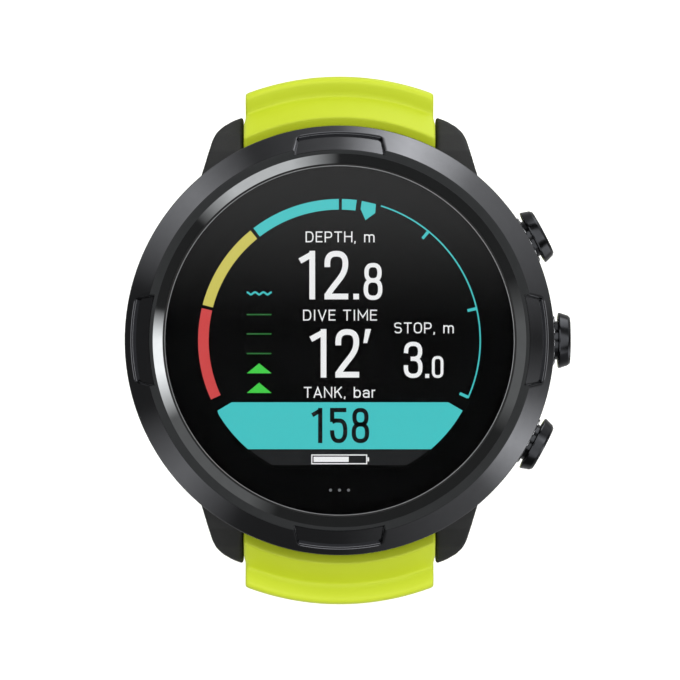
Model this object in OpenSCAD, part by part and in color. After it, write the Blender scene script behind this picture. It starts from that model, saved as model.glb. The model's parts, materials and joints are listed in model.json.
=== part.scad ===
// Wrist-worn dive computer: round three-button instrument with a two-part silicone strap.
// Frame: origin at the centre of the case back, +Z out of the crystal, +Y to twelve o'clock,
// +X to the buttons. Millimetres.

/* [Case] */
// Outer diameter of the steel bezel
bezel_d = 53; // [52.6:0.1:53.4]
// Height from the case back to the top of the bezel
case_h = 16.5; // [16.3:0.1:16.8]
// Outer diameter of the moulded mid case
body_d = 52; // [51.8:0.1:52.2]
// Distance from the dial axis to the end of a lug
lug_reach = 28; // [27.8:0.1:28.3]
// Gap between the lugs of one pair
lug_gap = 24; // [24:0.1:24.2]

/* [Crystal and display] */
// Diameter of the mineral crystal
crystal_d = 43; // [42.8:0.1:43]
// Radius of the active display area
view_r = 17.7; // [17:0.1:18]
// Distance from the dial axis to the flat lower edge of the display
view_flat = 15.8; // [15.4:0.1:16]

/* [Buttons] */
// Height of the button axes above the case back
button_z = 6.9; // [6.8:0.05:7]
// Angle between neighbouring buttons
button_step = 28; // [26:1:30]
// Largest diameter of a button cap
cap_d = 6.9; // [6.6:0.1:7]
// How far a button travels inwards
button_travel = 0.75; // [0.6:0.05:0.75]

/* [Strap] */
// Width of the strap
strap_w = 23.8; // [23.4:0.1:23.8]
// Thickness of the plain strap
strap_t = 2.8; // [2.6:0.1:2.9]
// Largest reach of the strap from the dial axis
strap_reach = 32.9; // [32.6:0.1:33.2]
// Height of the surface that the tail lies on, below the case back
stand_z = 68; // [68:0.5:72]
// Diameter of the adjusting holes
hole_d = 2.6; // [2.2:0.1:3]
// Number of adjusting holes
hole_n = 10; // [6:1:10]
// Pitch of the adjusting holes
hole_pitch = 6; // [5:0.5:6]

/* [Hidden] */
$fn = 96;

body_r = body_d / 2;
bezel_r = bezel_d / 2;
crystal_r = crystal_d / 2;
case_top = case_h - 5.1;       // where the mid case meets the bezel
channel_y = 22.6;              // flat wall behind each strap end
bar_y = 25.4;                  // strap bar axis
bar_z = 3.6;
bar_hole_r = 0.6;
screw_r = 20.2;                // screw circle radius
buckle_x = 12.25;              // inner face of each buckle arm
in_y = 28;                     // inner face of the strap's straight run
out_y = in_y + strap_t;
arc_r = 28;                    // inner radius of the short strap's curl
arc_z = -18;
arc_a = 78;
corner_r = 12;                 // inner radius of the long strap's bend
corner_z = -(stand_z - strap_t - corner_r);
mid = strap_t / 2;
bb_y = in_y - arc_r + (arc_r + mid) * cos(arc_a);
bb_z = arc_z - (arc_r + mid) * sin(arc_a);
tail_y = -14;
BLACK = [0.10, 0.10, 0.11];
STEEL = [0.62, 0.62, 0.64];
DARK = [0.20, 0.20, 0.21];
LIME = [0.72, 0.80, 0.15];

// A profile drawn in Y and Z, extruded along X from x0 to x1
module along_x(x0, x1) translate([x0, 0, 0]) rotate([90, 0, 90]) linear_extrude(x1 - x0) children();
// Local Z is the outward radial axis of the button at angle a
module at_button(a) rotate([0, 0, a]) translate([0, 0, button_z]) rotate([0, 90, 0]) children();
module ring(r0, r1, z0, z1) rotate_extrude() polygon([[r0, z0], [r1, z0], [r1, z1], [r0, z1]]);
module disc(r, z0, z1) translate([0, 0, z0]) cylinder(r = r, h = z1 - z0);
module block(x0, x1, y0, y1, z0, z1) translate([x0, y0, z0]) cube([x1 - x0, y1 - y0, z1 - z0]);
module torus(r, m) rotate_extrude() translate([r, 0]) circle(r = m, $fn = 24);
// A helical wire: n turns, mean radius r, wire radius w, length h, along Z
module coil(r, w, h, n) {
  seg = 12; k = 6; rings = n * seg;
  pts = [for (i = [0:rings]) let (a = 360 * i / seg, z = w + (h - 2 * w) * i / rings)
    for (j = [0:k - 1]) let (b = 360 * j / k)
      [(r + w * cos(b)) * cos(a), (r + w * cos(b)) * sin(a), z + w * sin(b)]];
  sides = [for (i = [0:rings - 1], j = [0:k - 1])
    [i * k + j, i * k + (j + 1) % k, (i + 1) * k + (j + 1) % k, (i + 1) * k + j]];
  polyhedron(points = pts, faces = concat([[for (j = [k - 1:-1:0]) j]], sides, [[for (j = [0:k - 1]) rings * k + j]]));
}

// ---------------------------------------------------------------- case
module lug() intersection() {
  translate([0, 0, -1]) linear_extrude(13) polygon([[lug_gap / 2, 14], [lug_gap / 2, lug_reach], [13.3, lug_reach - 0.55],
    [14.5, lug_reach - 1.3], [15.3, lug_reach - 2.1], [15.8, lug_reach - 3.1], [16.2, lug_reach - 4.5], [16.9, lug_reach - 6.9], [18, 17.5], [16, 14]]);
  along_x(10, 20) polygon([[13, case_top], [20.5, case_top], [23.4, case_top - 0.9], [25.6, case_top - 3], [27.3, case_top - 5.6], [lug_reach + 0.1, 3.9],
    [lug_reach - 0.2, 2.2], [26.6, 1], [24.5, 0.5], [13, 0.4]]);
}
module case_body() color(BLACK) difference() {
  union() {
    rotate_extrude($fn = 128) polygon([[17.7, 1.7], [21.8, 1.7], [21.8, 0.4], [23.9, 0.4], [body_r - 0.6, 1.6], [body_r, 2.8], [body_r, case_top],
      [22.05, case_top], [22.05, case_top - 1.6], [20.4, case_top - 1.6], [20.4, 3.7], [17.7, 3.7]]);
    difference() {
      union() { lug(); mirror([1, 0, 0]) lug(); mirror([0, 1, 0]) lug(); mirror([1, 0, 0]) mirror([0, 1, 0]) lug(); }
      disc(22.6, -2, 14);
    }
  }
  for (m = [0, 1]) mirror([0, m, 0])
    along_x(-lug_gap / 2, lug_gap / 2) polygon([[channel_y, -1], [channel_y, 8.6], [24.4, 10.4], [26.8, case_top - 0.3], [30, case_top - 0.3], [30, -1]]);
  for (s = [-1, 1], m = [0, 1]) mirror([m, 0, 0])
    translate([lug_gap / 2 - 1, s * bar_y, bar_z]) rotate([0, 90, 0]) cylinder(r = bar_hole_r, h = 3);
  for (a = [-1, 0, 1]) at_button(a * button_step) {
    translate([0, 0, 19]) cylinder(r = 3, h = 8);
    translate([0, 0, 25.6]) cylinder(r = 3.45, h = 3);
  }
  for (k = [0:3]) rotate([0, 0, 45 + 90 * k]) translate([screw_r, 0, 1]) cylinder(r = 0.7, h = 3.5);
  ring(18.2, 19.1, 1.2, 2.45);
}

// ---------------------------------------------------------------- bezel and crystal
module bezel() color(DARK) difference() {
  rotate_extrude($fn = 180) polygon([[21.2, case_top - 1.5], [21.95, case_top - 1.5], [21.95, case_top + 0.2], [bezel_r, case_top + 0.2],
    [bezel_r, case_h - 2.6], [bezel_r - 0.12, case_h - 2.38], [24.02, case_h - 0.12], [23.95, case_h], [22.9, case_h], [21.75, case_h - 0.65],
    [21.75, case_h - 2.5], [20.6, case_h - 2.5], [20.6, case_h - 3.2], [21.2, case_h - 3.2]]);
  for (k = [0:3]) rotate([0, 0, 90 * k]) intersection() {
    rotate_extrude($fn = 180) polygon([[23.35, case_h + 1], [23.35, case_h - 0.35], [25.45, case_h - 2.15], [25.85, case_h - 1.5], [25.85, case_h + 1]]);
    translate([0, 0, case_h - 4]) linear_extrude(6) polygon([[22, 6], [22, -6], [23.3, -5.75], [25.2, -5.1], [25.9, -4.5], [25.9, 4.5], [25.2, 5.1], [23.3, 5.75]]);
  }
}
module bezel_gasket() color([0.05, 0.05, 0.05]) ring(22.3, 25.4, case_top, case_top + 0.2);
module crystal() color([0.2, 0.22, 0.24, 0.4]) rotate_extrude($fn = 180) polygon([[0, case_h - 2.28], [crystal_r, case_h - 2.28], [crystal_r, case_h - 0.8],
  [crystal_r - 0.25, case_h - 0.55], [0, case_h - 0.55]]);
module crystal_gasket() color([0.05, 0.05, 0.05]) rotate_extrude($fn = 128) polygon([[20.6, case_h - 2.5], [21.73, case_h - 2.5], [21.73, case_h - 0.85],
  [crystal_r + 0.02, case_h - 0.85], [crystal_r + 0.02, case_h - 2.3], [20.6, case_h - 2.3]]);
// The round display outline with its flat lower edge
module view_outline(r, flat, z0, z1) difference() {
  disc(r, z0, z1);
  block(-25, 25, -30, -flat, z0 - 1, z1 + 1);
}
module display_mask() color([0.02, 0.02, 0.02]) difference() {
  disc(20.5, case_h - 2.42, case_h - 2.3);
  view_outline(view_r, view_flat, case_h - 3, case_h - 2);
}
module display_panel() color([0.05, 0.06, 0.08]) view_outline(view_r + 0.9, view_flat + 0.6, case_h - 3.6, case_h - 2.5);
module backlight() color([0.9, 0.9, 0.92]) view_outline(view_r + 0.9, view_flat + 0.6, case_h - 4.5, case_h - 3.65);
module display_frame() color([0.16, 0.16, 0.17]) difference() {
  disc(20.4, case_h - 5.05, case_h - 2.6);
  view_outline(view_r + 1, view_flat + 0.7, case_h - 4.55, case_h - 2);
  for (k = [0:3]) rotate([0, 0, 45 + 90 * k]) translate([10, 0, 0]) disc(3, case_h - 6, case_h - 4);
}
module antenna_ring() color([0.8, 0.55, 0.2]) difference() {
  ring(20.55, 20.95, case_h - 6.4, case_h - 3.4);
  block(-3, 3, 15, 25, case_h - 8, case_h - 2);
}

// ---------------------------------------------------------------- electronics
module chassis_plate() color([0.25, 0.26, 0.28]) difference() {
  disc(20.2, 10.35, 11.2);
  block(-4.5, 4.5, -22, -19.3, 10, 12);
  block(-9.6, 5.6, -3.6, 9.6, 10, 12);
  for (k = [0:2]) rotate([0, 0, 30 + 120 * k]) translate([16, 0, 0]) disc(1.2, 10, 12);
}
module display_flex() color([0.75, 0.45, 0.12]) along_x(-4, 4) polygon([[-10, 11.4], [-19.85, 11.4], [-19.85, 9.75], [-14, 9.75], [-14, 9.9],
  [-19.7, 9.9], [-19.7, 11.25], [-10, 11.25]]);
module main_board() color([0.05, 0.25, 0.14]) difference() {
  disc(19.3, 8, 8.8);
  for (k = [0:2]) rotate([0, 0, 30 + 120 * k]) translate([16, 0, 0]) disc(0.9, 7, 10);
}
module board_chips() color([0.08, 0.08, 0.09]) {
  block(-7.5, -0.5, 0, 7, 8.8, 9.7);
  block(0.7, 4.7, 1, 7, 8.8, 9.6);
  block(8, 13, -3, 2, 8.8, 9.8);
  block(8, 12, -9, -6, 8.8, 9.6);
  block(-14, -11, -4, 2, 8.8, 9.7);
  block(-4.5, 4.5, -16.6, -13.8, 8.8, 9.7);
  block(-6, -2, 12, 14.5, 8.8, 9.6);
  block(3, 6, 12, 14, 8.8, 9.4);
}
module shield_can() color([0.78, 0.78, 0.78]) difference() {
  block(-9, 5.2, -3, 9, 8.8, 10.2);
  block(-8.8, 5, -2.8, 8.8, 8, 10);
}
module side_switches() color([0.7, 0.7, 0.68]) for (a = [-1, 0, 1]) rotate([0, 0, a * button_step]) {
  block(17.8, 19.3, -1.8, 1.8, 5.4, 8);
  translate([19.2, 0, button_z]) rotate([0, 90, 0]) cylinder(r = 0.8, h = 0.4);
}
module battery_carrier() color([0.3, 0.3, 0.32]) difference() {
  intersection() { disc(17.2, 6.8, 7.6); block(-9.4, 16, -18, 18, 6, 9); }
  block(-5, 10, -8, 8, 6, 9);
}
module battery() color([0.75, 0.76, 0.78]) {
  difference() {
    block(-8, 12.6, -11.2, 11.2, 2.3, 6.7);
    for (x = [-8, 12.6], y = [-11.2, 11.2]) translate([x, y, 0]) rotate([0, 0, 45]) block(-0.8, 0.8, -0.8, 0.8, 2, 7);
  }
}
module vibration_motor() color(STEEL) translate([0, -14, 4.4]) rotate([0, 90, 0]) {
  difference() {
    translate([0, 0, -6]) cylinder(r = 2, h = 9.4);
    translate([0, 0, 1]) cylinder(r = 0.4, h = 4);
  }
}
module vibration_weight() color([0.45, 0.44, 0.42]) translate([0, -14, 4.4]) rotate([0, 90, 0]) {
  translate([0, 0, 1.2]) cylinder(r = 0.35, h = 5.4);
  difference() {
    translate([0, 0, 3.9]) cylinder(r = 2, h = 2.5);
    translate([-4.6, -3, 3]) cube([4, 6, 4]);
  }
}
module buzzer_disc() color([0.8, 0.62, 0.25]) translate([2.3, 0, 0]) { disc(6, 1.6, 1.95); disc(4.6, 1.95, 2.15); }
module receiver_core() color([0.2, 0.2, 0.2]) translate([0, 14.2, 4.4]) rotate([0, 90, 0]) {
  translate([0, 0, -6.3]) cylinder(r = 1.1, h = 12.6);
  for (z = [-6.3, 5.3]) translate([0, 0, z]) cylinder(r = 1.9, h = 1);
}
module receiver_winding() color([0.75, 0.4, 0.18]) translate([0, 14.2, 4.4]) rotate([0, 90, 0]) translate([0, 0, -5.25]) difference() {
  cylinder(r = 1.75, h = 10.5);
  translate([0, 0, -1]) cylinder(r = 1.12, h = 13);
}

// ---------------------------------------------------------------- back
sensor_at = [-12.6, 4.6, 0];
contact_x = -11.8;
module back_cover() color([0.55, 0.55, 0.57]) difference() {
  rotate_extrude($fn = 128) polygon([[0, 0], [20.9, 0], [21.7, 0.5], [21.7, 1.6], [0, 1.6]]);
  for (k = [0:3]) rotate([0, 0, 45 + 90 * k]) translate([screw_r, 0, 0]) { disc(1.45, -1, 0.7); disc(0.85, -1, 3); }
  translate(sensor_at) { disc(2.9, -1, 0.5); disc(2.3, -1, 3); }
  block(contact_x - 1.5, contact_x + 1.5, -9.3, -1.8, -1, 3);
  for (y = [-9.3, -1.8]) translate([contact_x, y, 0]) disc(1.5, -1, 3);
}
module back_gasket() color([0.05, 0.05, 0.05]) translate([0, 0, 2.03]) torus(18.65, 0.4);
module back_screws() color(STEEL) for (k = [0:3]) rotate([0, 0, 45 + 90 * k]) translate([screw_r, 0, 0]) difference() {
  union() { disc(1.35, 0.06, 0.7); disc(0.68, 0.6, 3.6); }
  translate([0, 0, -1]) cylinder(r = 0.6, h = 1.5, $fn = 6);
}
module pressure_sensor() color([0.72, 0.72, 0.72]) translate(sensor_at) {
  disc(2.15, 0.9, 2.6);
  disc(3, 2.45, 4.8);
}
module sensor_seal() color([0.05, 0.05, 0.05]) translate(sensor_at) translate([0, 0, 2.03]) torus(2.62, 0.4);
module sensor_port_cover() color([0.3, 0.3, 0.31]) translate(sensor_at) difference() {
  disc(2.85, 0.03, 0.48);
  for (k = [0:5]) rotate([0, 0, 60 * k]) translate([1.5, 0, 0]) disc(0.32, -1, 2);
  disc(0.32, -1, 2);
}
module contact_block() color([0.06, 0.06, 0.06]) difference() {
  union() {
    block(contact_x - 1.45, contact_x + 1.45, -9.3, -1.8, 0.03, 2.4);
    for (y = [-9.3, -1.8]) translate([contact_x, y, 0]) disc(1.45, 0.03, 2.4);
  }
  for (k = [0:3]) translate([contact_x, -9.3 + 2.5 * k, 0]) { disc(0.82, -1, 0.72); disc(0.42, -1, 3); }
}
module charging_contacts() color([0.85, 0.65, 0.25]) for (k = [0:3]) translate([contact_x, -9.3 + 2.5 * k, 0]) {
  disc(0.8, 0.01, 0.7);
  disc(0.4, 0.6, 7.95);
}

// ---------------------------------------------------------------- buttons
module button_bushings() color(STEEL) for (a = [-1, 0, 1]) at_button(a * button_step) difference() {
  union() {
    translate([0, 0, 21.4]) cylinder(r = 2.98, h = 4.3);
    translate([0, 0, 25.62]) cylinder(r = 3.3, h = 0.43);
  }
  translate([0, 0, 20]) cylinder(r = 1.25, h = 7);
  translate([0, 0, 23.4]) cylinder(r = 2.46, h = 4);
}
module button(a) at_button(a) rotate_extrude($fn = 64) polygon([[0, 20.4], [1.05, 20.4], [1.2, 20.55], [1.2, 20.98], [0.8, 20.98], [0.8, 21.38], [1.2, 21.38],
  [1.2, 22.72], [0.83, 22.72], [0.83, 23.18], [1.2, 23.18], [1.2, 25], [2.4, 25], [2.4, 27.2], [cap_d / 2 - 0.1, 27.2], [cap_d / 2, 27.32],
  [cap_d / 2 - 0.34, 28.42], [cap_d / 2 - 0.65, 28.7], [1.6, 28.72], [0, 28.75]]);
module button_seal(a) at_button(a) translate([0, 0, 22.95]) torus(1.03, 0.19);
module button_clip(a) at_button(a) difference() {
  translate([0, 0, 21.0]) cylinder(r = 1.95, h = 0.36);
  translate([0, 0, 20]) cylinder(r = 0.82, h = 3);
  translate([0, -0.7, 20]) cube([3, 1.4, 3]);
}
module button_spring(a) at_button(a) translate([0, 0, 23.45]) coil(1.8, 0.16, 1.5, 3);
module button_upper() color(DARK) button(button_step);
module button_middle() color(DARK) button(0);
module button_lower() color(DARK) button(-button_step);
module button_seal_upper() color([0.05, 0.05, 0.05]) button_seal(button_step);
module button_seal_middle() color([0.05, 0.05, 0.05]) button_seal(0);
module button_seal_lower() color([0.05, 0.05, 0.05]) button_seal(-button_step);
module button_clip_upper() color(STEEL) button_clip(button_step);
module button_clip_middle() color(STEEL) button_clip(0);
module button_clip_lower() color(STEEL) button_clip(-button_step);
module button_spring_upper() color(STEEL) button_spring(button_step);
module button_spring_middle() color(STEEL) button_spring(0);
module button_spring_lower() color(STEEL) button_spring(-button_step);

// ---------------------------------------------------------------- strap
// Side profile of a strap root, from the end loop round the bar out to the plain run
end_r = 2.5;
root_out = concat([for (a = [180:-10:100]) [bar_y + end_r * cos(a), bar_z + end_r * sin(a)]],
  [[25.7, 8.2], [26.2, 9.5], [26.6, 9.8], [27.6, 10.1], [27.95, 9.9], [30.15, 7.95], [30.5, 7.8], [31.9, 8.45], [32.5, 8.3], [strap_reach, 7.6],
   [strap_reach, -3.6], [32.4, -4.3], [31.9, -4.5], [31.9, -5.2], [32.25, -5.6], [32.25, -10.2], [32.1, -10.6], [31.9, -11.2], [32.1, -11.8],
   [31.9, -16], [31.3, -16.6], [out_y, -18]]);
root_in = concat([for (a = [190:10:290]) [bar_y + end_r * cos(a), bar_z + end_r * sin(a)]], [[27.1, 0.5], [27.7, -0.7], [in_y, -2.4]]);
module strap_shape(out_run, in_run) {
  pts = concat(root_out, out_run, [for (i = [len(in_run) - 1:-1:0]) in_run[i]], [for (i = [len(root_in) - 1:-1:0]) root_in[i]]);
  difference() {
    intersection() {
      along_x(-strap_w / 2, strap_w / 2) polygon(pts);
      disc(strap_reach, -stand_z - 1, 20);
    }
    translate([-15, bar_y, bar_z]) rotate([0, 90, 0]) cylinder(r = 0.93, h = 30);
    block(4.9, 9.5, bar_y - 0.95, bar_y + 0.95, -2, bar_z);
  }
}
// The short half's curl: a ring sector about an axis along X
module curl() intersection() {
  translate([-strap_w / 2, in_y - arc_r, arc_z]) rotate([0, 90, 0]) difference() {
    cylinder(r = arc_r + strap_t, h = strap_w, $fn = 128);
    translate([0, 0, -1]) cylinder(r = arc_r, h = strap_w + 2, $fn = 128);
  }
  translate([0, in_y - arc_r, arc_z]) along_x(-20, 20) polygon([[0, 0], [60, 0], [60, -60], [60 * cos(arc_a), -60 * sin(arc_a)]]);
}
module strap_short() color(LIME) difference() {
  union() {
    strap_shape([[out_y, arc_z]], [[in_y, arc_z]]);
    curl();
    translate([-strap_w / 2, bb_y, bb_z]) rotate([0, 90, 0]) cylinder(r = 1.9, h = strap_w);
  }
  translate([-15, bb_y, bb_z]) rotate([0, 90, 0]) cylinder(r = 0.82, h = 30);
  translate([0, bb_y, bb_z]) rotate([-arc_a, 0, 0]) block(-1.6, 1.6, -4, 4, -4, 3.6);
}
// Where the adjusting hole number k sits: [y, z, tilt of its axis]
hole_s0 = 14;                  // from the bend's start, measured back up the straight run
function run_at(s) = s < 0 ? [in_y + mid, corner_z - s, 0]
  : s < (corner_r + mid) * PI / 2 ? let (a = s / (corner_r + mid) * 180 / PI) [in_y - corner_r + (corner_r + mid) * cos(a), corner_z - (corner_r + mid) * sin(a), -a]
  : [in_y - corner_r - (s - (corner_r + mid) * PI / 2), corner_z - corner_r - mid, -90];
long_out = concat([[out_y, corner_z]], [for (a = [6:6:90]) [in_y - corner_r + (corner_r + strap_t) * cos(a), corner_z - (corner_r + strap_t) * sin(a)]],
  [[tail_y, -stand_z]]);
long_in = concat([[in_y, corner_z]], [for (a = [6:6:90]) [in_y - corner_r + corner_r * cos(a), corner_z - corner_r * sin(a)]],
  [[tail_y, -stand_z + strap_t]]);
module long_half() difference() {
  intersection() {
    strap_shape(long_out, long_in);
    union() { block(-15, 15, -2, 40, -80, 20); translate([0, -2, 0]) disc(strap_w / 2, -80, 20); }
  }
  for (k = [0:hole_n - 1]) let (p = run_at(-hole_s0 + k * hole_pitch)) translate([0, p[0], p[1]]) rotate([p[2], 0, 0]) rotate([-90, 0, 0])
    translate([0, 0, -3]) cylinder(r = hole_d / 2, h = 6, $fn = 32);
}
module strap_long() color(LIME) mirror([0, 1, 0]) long_half();

// Quick-release bar: a tube with one fixed tip, and a sprung pin whose knob comes out under the strap
module bar_tube() translate([0, bar_y, bar_z]) rotate([0, 90, 0]) difference() {
  union() {
    translate([0, 0, -11.4]) cylinder(r = 0.9, h = 22.8, $fn = 48);
    translate([0, 0, -13.6]) cylinder(r = 0.55, h = 3, $fn = 48);
  }
  translate([0, 0, -4]) cylinder(r = 0.63, h = 20, $fn = 48);
  translate([0, -0.62, 5.0]) cube([2, 1.24, 4.4]);
}
module release_pin() translate([0, bar_y, bar_z]) {
  rotate([0, 90, 0]) {
    translate([0, 0, 3]) cylinder(r = 0.6, h = 8.3, $fn = 48);
    translate([0, 0, 11.2]) cylinder(r = 0.55, h = 2.4, $fn = 48);
  }
  translate([8.4, 0, -3.3]) cylinder(r = 0.55, h = 3.2, $fn = 48);
  translate([8.4, 0, -3.5]) cylinder(r = 0.75, h = 0.9, $fn = 48);
}
module release_spring() translate([-3.9, bar_y, bar_z]) rotate([0, 90, 0]) coil(0.45, 0.1, 6.8, 6);
module strap_bar_short() color(STEEL) bar_tube();
module strap_bar_long() color(STEEL) mirror([0, 1, 0]) bar_tube();
module release_pin_short() color(STEEL) release_pin();
module release_pin_long() color(STEEL) mirror([0, 1, 0]) release_pin();
module release_spring_short() color(STEEL) release_spring();
module release_spring_long() color(STEEL) mirror([0, 1, 0]) release_spring();

// ---------------------------------------------------------------- buckle and keepers
module buckle_bar() color(STEEL) translate([0, bb_y, bb_z]) rotate([0, 90, 0]) {
  translate([0, 0, -12.1]) cylinder(r = 0.8, h = 24.2, $fn = 48);
  translate([0, 0, -13.3]) cylinder(r = 0.45, h = 26.6, $fn = 48);
}
// Frame hanging straight down from its bar
module buckle_frame() color(STEEL) translate([0, bb_y, bb_z]) difference() {
  union() {
    for (m = [0, 1]) mirror([m, 0, 0]) {
      translate([buckle_x, 0, 0]) rotate([0, 90, 0]) cylinder(r = 1.6, h = 1.75);
      block(buckle_x, buckle_x + 1.75, -1.1, 1.1, -10.4, 0);
    }
    translate([-14, 0, -10.5]) rotate([0, 90, 0]) cylinder(r = 1.15, h = 28);
    block(-14, 14, -1.1, 1.1, -10.5, -9.4);
  }
  translate([-13.4, 0, 0]) rotate([0, 90, 0]) cylinder(r = 0.5, h = 26.8, $fn = 48);
}
module buckle_tongue() color(STEEL) translate([0, bb_y, bb_z]) difference() {
  union() {
    translate([-1.3, 0, 0]) rotate([0, 90, 0]) cylinder(r = 1.7, h = 2.6, $fn = 48);
    along_x(-1.1, 1.1) polygon([[-0.6, -1.2], [-0.3, -2.6], [1.22, -8.2], [1.24, -11.2], [1.6, -11.6], [2.15, -11.2], [2.2, -7.8], [1, -1.2]]);
  }
  translate([-3, 0, 0]) rotate([0, 90, 0]) cylinder(r = 0.85, h = 6, $fn = 48);
}
// A loop round the strap, centred on the strap's middle, 6 mm long along Z, its free room on +Y
module keeper() difference() {
  translate([0, 0, -3]) linear_extrude(6) offset(r = 0.8, $fn = 32) polygon([[-12.5, -mid - 0.5], [12.5, -mid - 0.5], [12.5, mid + 2.9], [-12.5, mid + 2.9]]);
  block(-12.2, 12.2, -mid - 0.25, mid + 2.7, -4, 4);
}
module on_curl(a) translate([0, in_y - arc_r, arc_z]) rotate([-a, 0, 0]) translate([0, arc_r + mid, 0]) children();
module keeper_fixed() color(LIME) on_curl(56) keeper();
module keeper_free() color(LIME) on_curl(38) keeper();

case_body();
bezel();
bezel_gasket();
crystal();
crystal_gasket();
display_mask();
display_panel();
backlight();
display_frame();
antenna_ring();
chassis_plate();
display_flex();
main_board();
board_chips();
shield_can();
side_switches();
battery_carrier();
battery();
vibration_motor();
vibration_weight();
buzzer_disc();
receiver_core();
receiver_winding();
pressure_sensor();
sensor_seal();
sensor_port_cover();
contact_block();
charging_contacts();
back_cover();
back_gasket();
back_screws();
button_bushings();
button_upper();
button_middle();
button_lower();
button_seal_upper();
button_seal_middle();
button_seal_lower();
button_clip_upper();
button_clip_middle();
button_clip_lower();
button_spring_upper();
button_spring_middle();
button_spring_lower();
strap_short();
strap_long();
strap_bar_short();
strap_bar_long();
release_pin_short();
release_pin_long();
release_spring_short();
release_spring_long();
buckle_bar();
buckle_frame();
buckle_tongue();
keeper_fixed();
keeper_free();
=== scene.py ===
import bpy, bmesh, json, math
from mathutils import Matrix, Vector


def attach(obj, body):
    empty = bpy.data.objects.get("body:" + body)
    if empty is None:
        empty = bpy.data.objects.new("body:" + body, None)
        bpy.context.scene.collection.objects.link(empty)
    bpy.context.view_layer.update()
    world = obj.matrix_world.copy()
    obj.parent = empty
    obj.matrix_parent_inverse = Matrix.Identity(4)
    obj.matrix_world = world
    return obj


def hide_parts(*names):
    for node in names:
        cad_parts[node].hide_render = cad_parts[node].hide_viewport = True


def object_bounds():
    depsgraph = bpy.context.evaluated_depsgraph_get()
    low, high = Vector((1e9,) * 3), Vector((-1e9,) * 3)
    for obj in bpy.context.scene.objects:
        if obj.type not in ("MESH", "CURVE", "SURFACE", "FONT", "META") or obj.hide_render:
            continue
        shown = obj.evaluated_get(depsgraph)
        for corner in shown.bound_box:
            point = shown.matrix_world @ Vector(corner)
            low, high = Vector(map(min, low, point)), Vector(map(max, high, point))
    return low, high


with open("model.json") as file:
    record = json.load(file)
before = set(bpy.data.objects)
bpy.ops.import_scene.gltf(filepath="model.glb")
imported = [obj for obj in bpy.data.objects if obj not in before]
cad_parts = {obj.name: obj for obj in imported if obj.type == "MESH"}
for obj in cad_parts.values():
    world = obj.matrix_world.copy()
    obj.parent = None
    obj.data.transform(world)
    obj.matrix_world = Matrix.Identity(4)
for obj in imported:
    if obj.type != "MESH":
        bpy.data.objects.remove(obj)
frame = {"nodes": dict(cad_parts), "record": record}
CAD_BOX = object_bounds()
NODES = frame["nodes"]
MM = 0.001
CASE_H = 16.5
FLOOR_Z = CAD_BOX[0].z


# ------------------------------------------------------------------ small helpers
def lin(r, g, b):
    """sRGB 0-255 to linear."""
    return tuple(((c / 255 + 0.055) / 1.055) ** 2.4 if c > 10 else c / 255 / 12.92 for c in (r, g, b))


def smooth(o, angle=32):
    o.data.shade_smooth()
    o.data.set_sharp_from_angle(angle=math.radians(angle))


def weighted(o):
    m = o.modifiers.new("weighted", "WEIGHTED_NORMAL")
    m.keep_sharp = True
    m.weight = 60


def make(name, verts, faces, mats, body, face_mats=None, angle=32, wn=True, mm=True):
    me = bpy.data.meshes.new(name)
    k = MM if mm else 1.0
    me.from_pydata([(v[0] * k, v[1] * k, v[2] * k) for v in verts], [], faces)
    if face_mats:
        me.polygons.foreach_set("material_index", face_mats)
    bm = bmesh.new()
    bm.from_mesh(me)
    bmesh.ops.recalc_face_normals(bm, faces=bm.faces)
    bm.to_mesh(me)
    bm.free()
    o = bpy.data.objects.new(name, me)
    bpy.context.scene.collection.objects.link(o)
    for m in (mats if isinstance(mats, (list, tuple)) else [mats]):
        me.materials.append(m)
    smooth(o, angle)
    if wn:
        weighted(o)
    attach(o, body)
    return o


def fillet(pts, rad, k=4, closed=True):
    """Rounds the corners of a 2-D polyline."""
    out, n = [], len(pts)
    for i, p in enumerate(pts):
        r = rad[i] if isinstance(rad, (list, tuple)) else rad
        if r <= 0 or (not closed and i in (0, n - 1)):
            out.append(tuple(p))
            continue
        p = Vector(p)
        a, b = Vector(pts[i - 1]) - p, Vector(pts[(i + 1) % n]) - p
        ang = a.angle(b)
        d = min(r / math.tan(ang / 2), 0.45 * a.length, 0.45 * b.length)
        p0, p1 = p + a.normalized() * d, p + b.normalized() * d
        for j in range(k + 1):
            t = j / k
            q = p0 * (1 - t) ** 2 + p * 2 * t * (1 - t) + p1 * t * t
            out.append((q.x, q.y))
    return out


def lathe_data(prof, n=192):
    """A closed (r, z) loop swept round Z. Points on the axis become poles."""
    verts, rings = [], []
    for r, z in prof:
        if r < 1e-6:
            rings.append([len(verts)] * n)
            verts.append((0, 0, z))
        else:
            start = len(verts)
            verts += [(r * math.cos(2 * math.pi * i / n), r * math.sin(2 * math.pi * i / n), z) for i in range(n)]
            rings.append(list(range(start, start + n)))
    faces, row = [], []
    for j in range(len(prof)):
        a, b = rings[j], rings[(j + 1) % len(prof)]
        if a[0] == a[1] and b[0] == b[1]:
            continue
        for i in range(n):
            k = (i + 1) % n
            f = []
            for v in (a[i], a[k], b[k], b[i]):
                if v not in f:
                    f.append(v)
            faces.append(f)
            row.append(j)
    return verts, faces, row


def lathe(name, prof, mats, body, n=192, mat_of=None, at=None, angle=32):
    verts, faces, row = lathe_data(prof, n)
    if at is not None:
        verts = [tuple(at @ Vector(v)) for v in verts]
    return make(name, verts, faces, mats, body, [mat_of(j) for j in row] if mat_of else None, angle)


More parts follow.
